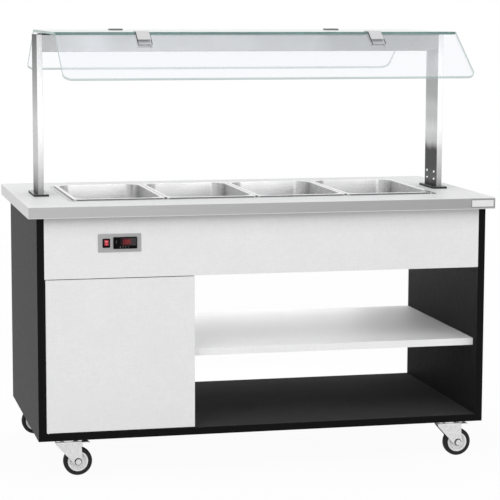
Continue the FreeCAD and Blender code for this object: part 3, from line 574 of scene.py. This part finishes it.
# ring turned about a line along Y from a closed section (r, h): point = centre + r (cos a, 0, sin a) + h Y
def lathedRing(section, centre, segments=96):
    section = np.asarray(section, float)
    a = np.linspace(0, 2 * math.pi, segments, endpoint=False)
    r = section[:, 0][:, None]
    h = section[:, 1][:, None]
    points = np.stack([centre[0] + r * np.cos(a), centre[1] + h + 0 * a, centre[2] + r * np.sin(a)], -1)
    return points, gridFaces(len(section), segments, closeRows=True)


# arc of a section: centre + radius (cos t, sin t) for t between two angles
def sectionArc(centre, radius, start, end, count=7):
    t = np.radians(np.linspace(start, end, count))
    return np.stack([centre[0] + radius * np.cos(t), centre[1] + radius * np.sin(t)], -1)


# rounded rectangle: quarter circles of the corner radius about four centres, joined by straight sides
def roundedLoop(width, height, corner, perCorner=6):
    t = np.linspace(0, math.pi / 2, perCorner)
    turns = np.arange(4)[:, None] * math.pi / 2 + t[None, :]
    signX = np.array([1, -1, -1, 1])[:, None]
    signY = np.array([1, 1, -1, -1])[:, None]
    u = signX * (width / 2 - corner) + corner * np.cos(turns)
    v = signY * (height / 2 - corner) + corner * np.sin(turns)
    return u.ravel(), v.ravel()


# plate facing -Y or +Z: the loop is repeated with (inset, rise) steps of a profile, then both ends are capped
def loftedPlate(centre, width, height, corner, profile, facing="front"):
    rings = []
    for inset, rise in profile:
        u, v = roundedLoop(width - 2 * inset, height - 2 * inset, max(corner - inset, 0.05 * mm))
        w = np.full_like(u, rise)
        rings.append(np.stack([u, -w, v] if facing == "front" else [u, v, w], -1) + np.asarray(centre))
    points = np.stack(rings)
    rows, columns = points.shape[:2]
    faces = gridFaces(rows, columns).tolist()
    faces += [list(range(columns)), list(range((rows - 1) * columns, rows * columns))]
    return points, faces


# flat shapes in the XZ plane pushed out along -Y by their thickness
def raisedShapes(shapes, y, thickness):
    points, faces = [], []
    start = 0
    for shape in shapes:
        count = len(shape)
        for depth in (y, y - thickness):
            points.append(np.stack([shape[:, 0], np.full(count, depth), shape[:, 1]], -1))
        faces += (gridFaces(2, count) + start).tolist()
        faces += [list(range(start, start + count)), list(range(start + count, start + 2 * count))]
        start += 2 * count
    return np.concatenate(points), faces


def middleOf(node):
    low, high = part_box(node)
    return (low + high) / 2


rubberFinish = mouldedFinish("softRubber")
inkFinish = mouldedFinish("printInk")
castorNames = ("front_left", "front_right", "back_left", "back_right")

# wheel, in millimetres: the halves are widths from the wheel's middle plane, the others are radii
wheel = {"tread": 50.0, "seat": 35.5, "tyreHalf": 14.0, "shoulder": 7.5, "beadHalf": 13.0, "bore": 5.05,
         "boss": 11.0, "bossHalf": 16.5, "webHalf": 7.2, "rimInner": 27.5, "ring": 18.5, "ringHalf": 1.4,
         "ringSink": 0.2}


# both halves of a section that is the same on either side of the wheel's middle plane
def mirrored(half):
    return np.concatenate([half, half[::-1] * (1, -1)]) * mm


# tyre section: bead, bulged side wall with a moulded groove, rounded shoulder, slightly crowned tread
def tyreSection():
    seat, bead, side = wheel["seat"], wheel["beadHalf"], wheel["tyreHalf"]
    wall = np.array([[seat, bead - 1.2], [seat + 0.8, bead], [seat + 2.6, side - 0.5],
                     [seat + 3.4, side - 0.9], [seat + 4.2, side - 0.4]])
    shoulder = sectionArc((wheel["tread"] - wheel["shoulder"], side - wheel["shoulder"]), wheel["shoulder"],
                          90, 12, 8)
    crown = np.array([[wheel["tread"], side * 0.25]])
    return mirrored(np.concatenate([wall, shoulder, crown]))


# hub section: bore, boss, web with a raised ring, dished rim under the tyre
def hubSection():
    bore, boss, bossHalf, web = wheel["bore"], wheel["boss"], wheel["bossHalf"], wheel["webHalf"]
    inner, seat, bead = wheel["rimInner"], wheel["seat"], wheel["beadHalf"]
    middle = np.array([[bore, bossHalf - 0.6], [bore + 0.6, bossHalf], [boss - 1.0, bossHalf],
                       [boss - 0.2, bossHalf - 0.7], [boss, bossHalf - 2], [boss + 0.6, web + 0.8],
                       [boss + 1.6, web]])
    ring = sectionArc((wheel["ring"], web - wheel["ringSink"]), wheel["ringHalf"], 180, 0, 7)
    rim = np.array([[inner - 2.5, web], [inner - 0.8, web + 1.2], [inner + 0.4, bead - 1.4],
                    [inner + 1.4, bead - 0.3], [seat - 0.9, bead - 0.1], [seat, bead - 0.9]])
    return mirrored(np.concatenate([middle, ring, rim]))


def makeWheels():
    tyreFinish = mouldedFinish("tyreRubber")
    hubFinish = mouldedFinish("hubNylon")
    for castor in castorNames:
        centre = middleOf("castor_tyre_" + castor)
        points, faces = lathedRing(tyreSection(), centre)
        tyre = meshPiece("wheel_tyre_" + castor, points, faces, tyreFinish, "wheel_" + castor)
        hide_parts("castor_tyre_" + castor)
        points, faces = lathedRing(hubSection(), centre)
        hub = meshPiece("wheel_hub_" + castor, points, faces, hubFinish, "wheel_" + castor)
        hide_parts("castor_hub_" + castor)


# dark washer rings round the axle heads, on both outer faces of each fork
def makeWashers():
    washer = {"inner": 10.2 * mm, "outer": 13.2 * mm, "height": 0.9 * mm, "sink": 0.1 * mm, "round": 0.5 * mm,
              "segments": 48}
    inner, outer, height, edge = washer["inner"], washer["outer"], washer["height"], washer["height"] * 0.7
    section = np.array([(inner, -washer["sink"]), (inner, edge), (inner + washer["round"], height),
                        (outer - washer["round"], height), (outer, edge), (outer, -washer["sink"])])
    for castor in castorNames:
        centre = middleOf("castor_tyre_" + castor)
        forkLow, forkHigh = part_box("castor_fork_" + castor)
        points, faces = [], []
        for faceY, out in ((forkLow.y, -1), (forkHigh.y, 1)):
            ring, quads = lathedRing(section * (1, out), (centre.x, faceY, centre.z), washer["segments"])
            faces += (quads + washer["segments"] * len(section) * len(points)).tolist()
            points.append(ring.reshape(-1, 3))
        meshPiece("axle_washers_" + castor, np.concatenate(points), faces, rubberFinish, "castor_" + castor)


makeWheels()
makeWashers()
print("stage: wheels")


# bare plate in a dark frame at the right end of the worktop's front edge
def makeEdgePlate():
    plate = {"width": 84 * mm, "height": 27 * mm, "fromRight": 6 * mm, "corner": 1.2 * mm,
             "thickness": 0.8 * mm, "frame": 3.2 * mm}
    low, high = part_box("worktop")
    t = plate["thickness"]
    x = high.x - plate["fromRight"] - plate["width"] / 2
    z = (low.z + high.z) / 2
    points, faces = loftedPlate((x, low.y, z), plate["width"], plate["height"], plate["corner"],
                                ((0, 0), (0, t * 0.7), (t * 0.3, t)))
    meshPiece("edge_plate_frame", points, faces, mouldedFinish("plateFrame"), "cabinet")
    points, faces = loftedPlate((x, low.y - t, z), plate["width"] - plate["frame"],
                                plate["height"] - plate["frame"], plate["corner"],
                                ((0, -t / 2), (0, 0), (t * 0.3, t * 0.3)))
    meshPiece("edge_plate", points, faces, mouldedFinish("plateFace"), "cabinet")


# rubber seal round the bottom of both foot plates: a half-round bead carried round the plate's outline
def makeSeals():
    seal = {"proud": 0.9 * mm, "height": 6.2 * mm, "corner": 4 * mm, "sink": 0.5 * mm, "plate": 52 * mm}
    low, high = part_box("post_plates")
    arch = [(math.cos(a) * seal["proud"], math.sin(a)) for a in np.linspace(0, math.pi / 2, 5)]
    steps = [(seal["sink"], 0), (-seal["proud"], 0.0)]
    steps += [(-out, seal["height"] * (0.4 + 0.6 * rise)) for out, rise in arch]
    steps += [(seal["sink"], seal["height"])]
    for side, x in (("left", low.x + seal["plate"] / 2), ("right", high.x - seal["plate"] / 2)):
        points, _ = loftedPlate((x, 0, low.z), seal["plate"], high.y - low.y, seal["corner"], steps, "top")
        ring = gridFaces(len(steps), points.shape[1], closeRows=True)
        meshPiece("post_seal_" + side, points, ring, rubberFinish, "cabinet")


makeEdgePlate()
makeSeals()
print("stage: edge plate and seals")


# one bar of a figure: a long hexagon between two points, shortened by the gap at both ends
def segmentBar(start, end, bar, gap):
    start = np.array(start, float)
    end = np.array(end, float)
    along = (end - start) / np.linalg.norm(end - start)
    across = np.array([-along[1], along[0]])
    a = start + along * gap
    b = end - along * gap
    h = bar / 2
    return np.array([a, a + (along - across) * h, b - (along + across) * h, b, b + (across - along) * h,
                     a + (along + across) * h])


# lit seven-segment figures on the display
def makeFigures():
    figure = {"value": "085", "height": 12.0 * mm, "width": 6.4 * mm, "bar": 1.3 * mm, "gap": 0.12 * mm,
              "pitch": 9.4 * mm, "slant": 0.08, "aside": -3.8 * mm, "sink": 0.02 * mm, "thickness": 0.08 * mm}
    segments = {"0": "abcdef", "5": "acdfg", "8": "abcdefg"}
    w = figure["width"] / 2
    h = figure["height"] / 2
    ends = {"a": ((-w, h), (w, h)), "b": ((w, h), (w, 0)), "c": ((w, 0), (w, -h)), "d": ((-w, -h), (w, -h)),
            "e": ((-w, 0), (-w, -h)), "f": ((-w, h), (-w, 0)), "g": ((-w, 0), (w, 0))}
    middle = middleOf("display_window")
    bars = []
    for index, digit in enumerate(figure["value"]):
        x = middle.x + figure["aside"] + (index - (len(figure["value"]) - 1) / 2) * figure["pitch"]
        for letter in segments[digit]:
            bar = segmentBar(*ends[letter], figure["bar"], figure["gap"])
            bar[:, 0] += bar[:, 1] * figure["slant"] + x
            bar[:, 1] += middle.z
            bars.append(bar)
    points, faces = raisedShapes(bars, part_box("display_window")[0].y + figure["sink"], figure["thickness"])
    meshPiece("display_figures", points, faces, mouldedFinish("litFigures"), "cabinet",
              smooth=False)


# plain signs on the four keys, each about two units across
def makeKeySigns():
    sign = {"size": 1.05 * mm, "sink": 0.02 * mm, "thickness": 0.06 * mm}
    shapes = {1: np.array([[-1, -0.6], [1, -0.6], [1, 0.6], [-1, 0.6]]),
              2: np.array([[-1, -0.8], [1, -0.8], [0, 0.9]]),
              3: np.array([[-1, 0.8], [0, -0.9], [1, 0.8]]),
              4: circlePoints(20) * 0.8}
    for index, shape in shapes.items():
        key = "thermostat_key_%d" % index
        middle = middleOf(key)
        points, faces = raisedShapes([shape * sign["size"] + np.array([middle.x, middle.z])],
                                     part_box(key)[0].y + sign["sink"], sign["thickness"])
        meshPiece("key_sign_%d" % index, points, faces, inkFinish, "key_%d" % index,
                  smooth=False)


# slim guide light in the left part of the thermostat
def makeGuide():
    guide = {"x": 10 * mm, "rise": 4 * mm, "width": 1.6 * mm, "height": 11 * mm, "corner": 0.75 * mm,
             "sink": 0.3 * mm, "proud": 0.3 * mm, "round": 0.15 * mm}
    low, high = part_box("thermostat_case")
    centre = (low.x + guide["x"], low.y, (low.z + high.z) / 2 + guide["rise"])
    profile = ((0, -guide["sink"]), (0, guide["proud"] - guide["round"]), (guide["round"], guide["proud"]))
    points, faces = loftedPlate(centre, guide["width"], guide["height"], guide["corner"], profile)
    meshPiece("thermostat_guide", points, faces, mouldedFinish("guidePlastic"), "cabinet")


makeFigures()
makeKeySigns()
makeGuide()
print("stage: controls")


# I and O on the two faces of the rocker. Its side line (y, z) goes top, fold, bottom about the rocker's axis
# and is turned by its tilt at rest; a flat mark (u, v) becomes point = middle + u X + v along the face +
# height outwards
def makeSwitchMarks():
    mark = {"size": 2.6 * mm, "bar": 0.55 * mm, "height": 0.08 * mm, "sink": -0.02 * mm, "tilt": -9,
            "axisDepth": 6 * mm, "face": 11.0 * mm, "fold": 9.6 * mm, "reach": 9.5 * mm}
    low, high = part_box("switch_rocker")
    plateLow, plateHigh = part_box("control_plate")
    c = math.cos(math.radians(mark["tilt"]))
    s = math.sin(math.radians(mark["tilt"]))
    line = np.array([[-mark["face"], mark["reach"]], [-mark["fold"], 0.0], [-mark["face"], -mark["reach"]]])
    line = line @ np.array([[c, s], [-s, c]])
    line = line + (plateLow.y + mark["axisDepth"], (plateLow.z + plateHigh.z) / 2)

    def onFace(flat, top, bottom, height):
        along = (top - bottom) / np.linalg.norm(top - bottom)
        out = np.array([-along[1], along[0]])
        out = out if out[0] < 0 else -out
        yz = (top + bottom) / 2 + flat[:, 1:2] * along + out * height
        return np.stack([flat[:, 0] + (low.x + high.x) / 2, yz[:, 0], yz[:, 1]], -1)

    stroke = np.array([[-1, -1], [1, -1], [1, 1], [-1, 1]]) * (mark["bar"] / 2, mark["size"] / 2)
    bar = np.concatenate([onFace(stroke, line[0], line[1], h) for h in (mark["sink"], mark["height"])])
    faces = gridFaces(2, 4).tolist() + [[0, 1, 2, 3], [4, 5, 6, 7]]
    meshPiece("switch_mark_on", bar, faces, inkFinish, "rocker", smooth=False)
    outer = mark["size"] / 2
    inner = outer - mark["bar"]
    circle = circlePoints(24)
    steps = ((outer, mark["sink"]), (outer, mark["height"]), (inner, mark["height"]), (inner, mark["sink"]))
    loops = [onFace(circle * radius, line[1], line[2], height) for radius, height in steps]
    meshPiece("switch_mark_off", np.concatenate(loops), gridFaces(4, len(circle), closeRows=True), inkFinish,
              "rocker", smooth=False)


# hexagon sockets in the screw heads of the posts: a low six-sided rim with a sunk floor, in a dark steel that
# paints the shade inside each socket
def makeScrewSockets():
    socket = {"across": 4.0 * mm, "rim": 0.35 * mm, "proud": 0.1 * mm, "sink": 0.1 * mm, "floor": 0.01 * mm,
              "headHeight": 3.3 * mm, "places": (-39 * mm, 39 * mm), "rises": (24 * mm, 51 * mm)}
    hexagon = circlePoints(6) * socket["across"] / math.sqrt(3)
    steps = ((1 + 2 * socket["rim"] / socket["across"], -socket["sink"]), (1.05, socket["proud"]),
             (0.9, socket["proud"]), (0.86, socket["floor"]))
    points, faces = [], []
    for sign in (-1, 1):
        faceX = -sign * (postHigh.x + socket["headHeight"])
        for y in socket["places"]:
            for rise in socket["rises"]:
                start = 6 * len(points)
                for scale, height in steps:
                    flat = hexagon * scale
                    points.append(np.stack([np.full(6, faceX - sign * height), y + flat[:, 0],
                                            postLow.z + rise + flat[:, 1]], -1))
                faces += (gridFaces(len(steps), 6) + start).tolist()
                faces += [list(range(start, start + 6)), list(range(start + 18, start + 24))]
    meshPiece("post_screw_sockets", np.concatenate(points), faces, steelFinish("socket"), "cabinet",
              smooth=False)


# rubber beads along both sides of the outer clip strips, dark also to paint the shade along the strap sides:
# a bent strip a few millimetres wide, along the line that keeps an offset from the glass, from a leg on the
# pane over the corner to a leg down the wing
def makeClipShadeLiners():
    liner = {"from": 22.6 * mm, "to": 25.4 * mm, "legTop": 41.5 * mm, "legWing": 73 * mm, "near": 0.02 * mm,
             "far": 0.27 * mm, "centres": (-0.415, 0.415)}

    def foldLine(offset):
        corner = -foldY - offset * (1 - slopeCos) / slopeSin
        tipY = -foldY - liner["legWing"] * slopeCos - offset * slopeSin
        tipZ = paneHigh.z - liner["legWing"] * slopeSin + offset * slopeCos
        top = paneHigh.z + offset
        return [(paneLow.y + liner["legTop"], top), (corner, top), (tipY, tipZ)]

    outline = np.array(foldLine(liner["near"]) + foldLine(liner["far"])[::-1])
    caps = np.array([[0, 1, 4, 5], [1, 2, 3, 4], [6, 7, 10, 11], [7, 8, 9, 10]])
    for key, mirror in (("front", 1), ("back", -1)):
        points, faces = [], []
        for x in liner["centres"]:
            for side in (-1, 1):
                start = 6 * len(points)
                for end in ("from", "to"):
                    points.append(np.stack([np.full(6, x + side * liner[end]), mirror * outline[:, 0],
                                            outline[:, 1]], -1))
                faces += (gridFaces(2, 6) + start).tolist() + (caps + start).tolist()
        meshPiece("clip_liners_" + key, np.concatenate(points), faces, rubberFinish, "cabinet",
                  smooth=False)


makeSwitchMarks()
makeScrewSockets()
makeClipShadeLiners()
print("stage: switch marks, screw sockets, clip liners")

dressing = (
    (boardFinish("blackBoard", boardLooks["black"]), ["side_panel_left"]),
    (boardFinish("blackInnerPaintedLight", boardLooks["blackInnerPaintedLight"]), ["side_panel_right"]),
    (boardFinish("blackFloorPaintedLight", boardLooks["blackFloorPaintedLight"]), ["bottom_panel"]),
    (boardFinish("fasciaBoard", boardLooks["fascia"]), ["fascia_front", "fascia_back"]),
    (boardFinish("shelfBoardPaintedLight", boardLooks["shelf"]), ["shelf"]),
    (boardFinish("whiteBoard", boardLooks["white"]),
     ["ceiling_board", "cupboard_divider", "cupboard_back", "door_panel"]),
    (worktopFinish(), ["worktop"]),
    (steelFinish("well"), ["well", "pan_bars"]),
    (panFinish(), ["pan_1", "pan_2", "pan_3", "pan_4"]),
    (postFinish("left"), ["post_left"]),
    (postFinish("right"), ["post_right"]),
    (steelFinish("plate"), ["post_plates"]),
    (beamFinish(), ["beam"]),
    (steelFinish("bolt"), ["post_bolts", "shelf_pins", "door_pivots"]),
    (clipFinish(), ["glass_clips"]),
    (steelFinish("element"), ["heating_element"]),
    (steelFinish("zinc"), ["castor_plates", "brake_pedal_front_left", "brake_pedal_front_right"]),
    (forkFinish(), ["castor_fork_" + castor for castor in castorNames]),
    (steelFinish("axle"), ["castor_axle_" + castor for castor in castorNames]),
    (sheetFinish(), ["control_plate"]),
    (mouldedFinish("blackPlastic"), ["switch_bezel", "thermostat_case", "door_bushes"]),
    (mouldedFinish("keyPlastic"), ["thermostat_key_%d" % index for index in (1, 2, 3, 4)]),
    (rockerFinish(), ["switch_rocker"]),
    (windowFinish(), ["display_window"]),
    (rubberFinish, ["glass_pads"]),
    (paneFinish(), ["glass_top"]),
    (wingFinish("front", -1), ["glass_wing_front"]),
    (wingFinish("back", 1), ["glass_wing_back"]),
)
for finish, names in dressing:
    for name in names:
        node = cadNodes[name]
        if not node.material_slots:
            node.data.materials.append(None)
        for slotEntry in node.material_slots:
            slotEntry.link = "OBJECT"
            slotEntry.material = finish
print("stage: nodes dressed")


# studio: pale floor and world that are white to the camera and in mirrors; the floor keeps part of the shadow
studio = {"floorSize": 40.0, "floorTone": grey(0.82), "floorWhite": 0.955, "whiteFrom": 1.5, "whiteTo": 9.0,
          "ambient": 0.94}


# 1 for camera rays and for rays through glass or off metal, 0 for rays that light the object
def seenDirectly(f):
    camera = f.node("LightPath", output="Is Camera Ray")
    glossy = f.node("LightPath", output="Is Glossy Ray")
    through = f.node("LightPath", output="Is Transmission Ray")
    return f.maths("MAXIMUM", f.maths("MAXIMUM", camera, glossy), through)


def makeFloor():
    half = studio["floorSize"] / 2
    mesh = bpy.data.meshes.new("studio_floor")
    corners = [(-half, -half, 0), (half, -half, 0), (half, half, 0), (-half, half, 0)]
    mesh.from_pydata(corners, [], [(0, 1, 2, 3)])
    f = Finish("studioFloor")
    x, y, z = f.axes(f.place())
    reach = f.maths("SQRT", x * x + y * y)
    away = f.ramp(reach, studio["whiteFrom"], studio["whiteTo"], studio["floorWhite"], 1.0)
    matt = f.node("BsdfDiffuse", None, {"Color": studio["floorTone"]})
    white = f.node("Emission", None, {"Color": grey(1), "Strength": 1.0})
    mesh.materials.append(f.done(f.node("MixShader", None, {0: seenDirectly(f) * away, 1: matt, 2: white})))
    floor = bpy.data.objects.new("studio_floor", mesh)
    scene.collection.objects.link(floor)


def makeWorld():
    scene.world = bpy.data.worlds.new("studioWorld")
    f = Finish("studioWorld", scene.world)
    ambient = f.node("Background", None, {"Strength": studio["ambient"]})
    white = f.node("Background", None, {"Color": grey(1), "Strength": 1.0})
    f.done(f.node("MixShader", None, {0: seenDirectly(f), 1: ambient, 2: white}), "OutputWorld")


# lamps: the top one shows in no mirror, and the mirror image of key and front lamp would hide the flat pane
lamps = {
    "key": {"place": (-3.4, -4.6, 5.4), "aim": (0, 0, 0.7), "size": 3.2, "power": 88, "notOn": "glass_top"},
    "front": {"place": (1.6, -9.5, 1.6), "aim": (0, 0, 0.6), "size": 5.0, "power": 98, "notOn": "glass_top"},
    "top": {"place": (0.2, 0.6, 5.2), "aim": (0, 0, 0.9), "size": 3.4, "power": 32, "mirrored": False},
    "back": {"place": (0.25, 1.5, 0.62), "aim": (0.25, 0, 0.45), "size": 1.3, "height": 0.3, "power": 7},
}


def makeLamp(name, lamp):
    light = bpy.data.lights.new(name, "AREA")
    light.energy = lamp["power"]
    light.shape = "RECTANGLE"
    light.size = lamp["size"]
    light.size_y = lamp.get("height", lamp["size"])
    holder = bpy.data.objects.new(name, light)
    scene.collection.objects.link(holder)
    holder.visible_glossy = lamp.get("mirrored", True)
    holder.location = lamp["place"]
    holder.rotation_euler = (Vector(lamp["aim"]) - Vector(lamp["place"])).to_track_quat("-Z", "Y").to_euler()
    if "notOn" in lamp:
        skipped = bpy.data.collections.new(name + "Skipped")
        skipped.objects.link(cadNodes[lamp["notOn"]])
        skipped.collection_objects[0].light_linking.link_state = "EXCLUDE"
        holder.light_linking.receiver_collection = skipped


# camera fitted to the photograph: place in metres, turns in degrees, focal length in the picture's own pixels
def makeCamera():
    view = {"place": (-1.5823, -6.8864, 1.636), "yaw": 13.23, "pitch": -7.35, "roll": 0.17,
            "focalPixels": 1935.8, "framePixels": 500, "sensor": 36}
    yaw, pitch, roll = (math.radians(view[key]) for key in ("yaw", "pitch", "roll"))
    ahead = Vector((math.sin(yaw) * math.cos(pitch), math.cos(yaw) * math.cos(pitch), math.sin(pitch)))
    level = Vector((math.cos(yaw), -math.sin(yaw), 0))
    upright = level.cross(ahead)
    right = level * math.cos(roll) + upright * math.sin(roll)
    up = upright * math.cos(roll) - level * math.sin(roll)
    cameraData = bpy.data.cameras.new("camera")
    cameraData.lens = view["focalPixels"] / view["framePixels"] * view["sensor"]
    cameraData.sensor_width = view["sensor"]
    camera = bpy.data.objects.new("camera", cameraData)
    scene.collection.objects.link(camera)
    turn = Matrix((right, up, -ahead)).transposed()
    camera.matrix_world = Matrix.Translation(view["place"]) @ turn.to_4x4()
    bpy.context.scene.camera = camera


makeFloor()
makeWorld()
for name, lamp in lamps.items():
    makeLamp(name, lamp)
makeCamera()
scene.view_settings.view_transform = "Standard"
print("stage: studio and camera")
